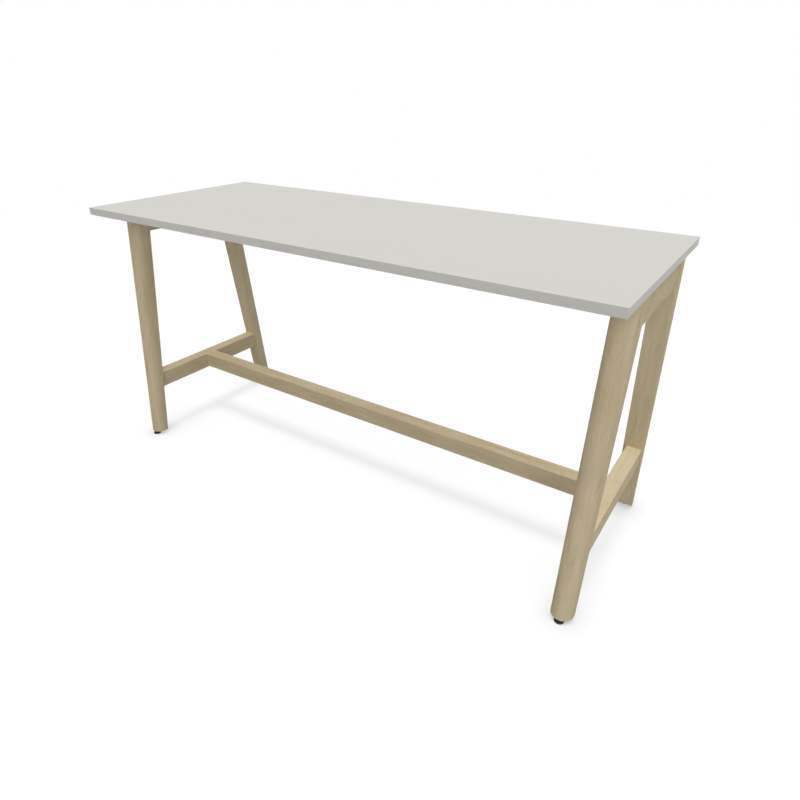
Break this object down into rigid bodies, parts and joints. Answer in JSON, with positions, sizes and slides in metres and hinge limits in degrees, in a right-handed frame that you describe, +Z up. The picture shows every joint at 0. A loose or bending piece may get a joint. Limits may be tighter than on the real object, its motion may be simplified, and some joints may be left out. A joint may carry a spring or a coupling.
{
  "type": "high table",
  "caption": "High rectangular meeting table: flat laminated board on splayed wooden trestles that a low stretcher joins, standing on levelling feet.",
  "frame": {"origin": "on the floor under the middle of the board", "axes": "+X along the table's length, +Y towards its rear long side, +Z up"},
  "size_m": [2.1, 0.82, 1.055],
  "materials": {
    "laminate": "fine matt laminate",
    "backing": "plain matt laminate",
    "edge_band": "matt edge band",
    "particle_core": "raw particle board",
    "pale_oak": "matt clear lacquer",
    "tenon_wood": "raw beech",
    "zinc_steel": "zinc plated",
    "black_steel": "black plated",
    "glide_plastic": "moulded, satin"
  },
  "bodies": {
    "frame": {"board_core": "particle_core", "top_laminate": "laminate", "backing_laminate": "backing", "edge_band_front": "edge_band", "edge_band_rear": "edge_band", "edge_band_left": "edge_band", "edge_band_right": "edge_band", "stretcher": "pale_oak", "top_rail_left": "pale_oak", "top_rail_right": "pale_oak", "lower_rail_left": "pale_oak", "lower_rail_right": "pale_oak", "leg_front_left": "pale_oak", "leg_rear_left": "pale_oak", "leg_front_right": "pale_oak", "leg_rear_right": "pale_oak", "top_rail_tenons": "tenon_wood", "lower_rail_tenons": "tenon_wood", "stretcher_tenons": "tenon_wood", "stretcher_studs": "zinc_steel", "stretcher_inserts": "zinc_steel", "stretcher_barrel_nuts": "zinc_steel", "board_inserts": "zinc_steel", "board_screws": "zinc_steel", "foot_inserts": "zinc_steel"},
    "pad_front_left": {"glide_pad_front_left": "glide_plastic"},
    "stem_front_left": {"levelling_stem_front_left": "black_steel"},
    "pad_rear_left": {"glide_pad_rear_left": "glide_plastic"},
    "stem_rear_left": {"levelling_stem_rear_left": "black_steel"},
    "pad_front_right": {"glide_pad_front_right": "glide_plastic"},
    "stem_front_right": {"levelling_stem_front_right": "black_steel"},
    "pad_rear_right": {"glide_pad_rear_right": "glide_plastic"},
    "stem_rear_right": {"levelling_stem_rear_right": "black_steel"}
  },
  "joints": [
    {"name": "foot_lift_front_left", "type": "slide", "parent": "frame", "child": "pad_front_left", "axis": [0, 0, -1], "range_m": [0, 0.012]},
    {"name": "stem_turn_front_left", "type": "hinge", "parent": "pad_front_left", "child": "stem_front_left", "pos_m": [-1.01, -0.36178, 0.01], "axis": [0, 0, -1], "range_deg": [0, 3460]},
    {"name": "foot_lift_rear_left", "type": "slide", "parent": "frame", "child": "pad_rear_left", "axis": [0, 0, -1], "range_m": [0, 0.012]},
    {"name": "stem_turn_rear_left", "type": "hinge", "parent": "pad_rear_left", "child": "stem_rear_left", "pos_m": [-1.01, 0.36178, 0.01], "axis": [0, 0, -1], "range_deg": [0, 3460]},
    {"name": "foot_lift_front_right", "type": "slide", "parent": "frame", "child": "pad_front_right", "axis": [0, 0, -1], "range_m": [0, 0.012]},
    {"name": "stem_turn_front_right", "type": "hinge", "parent": "pad_front_right", "child": "stem_front_right", "pos_m": [1.01, -0.36178, 0.01], "axis": [0, 0, -1], "range_deg": [0, 3460]},
    {"name": "foot_lift_rear_right", "type": "slide", "parent": "frame", "child": "pad_rear_right", "axis": [0, 0, -1], "range_m": [0, 0.012]},
    {"name": "stem_turn_rear_right", "type": "hinge", "parent": "pad_rear_right", "child": "stem_rear_right", "pos_m": [1.01, 0.36178, 0.01], "axis": [0, 0, -1], "range_deg": [0, 3460]}
  ],
  "couplings": [
    {"joint": "stem_turn_front_left", "follows": "foot_lift_front_left", "rad_per_m": 5026.5},
    {"joint": "stem_turn_rear_left", "follows": "foot_lift_rear_left", "rad_per_m": 5026.5},
    {"joint": "stem_turn_front_right", "follows": "foot_lift_front_right", "rad_per_m": 5026.5},
    {"joint": "stem_turn_rear_right", "follows": "foot_lift_rear_right", "rad_per_m": 5026.5}
  ]
}
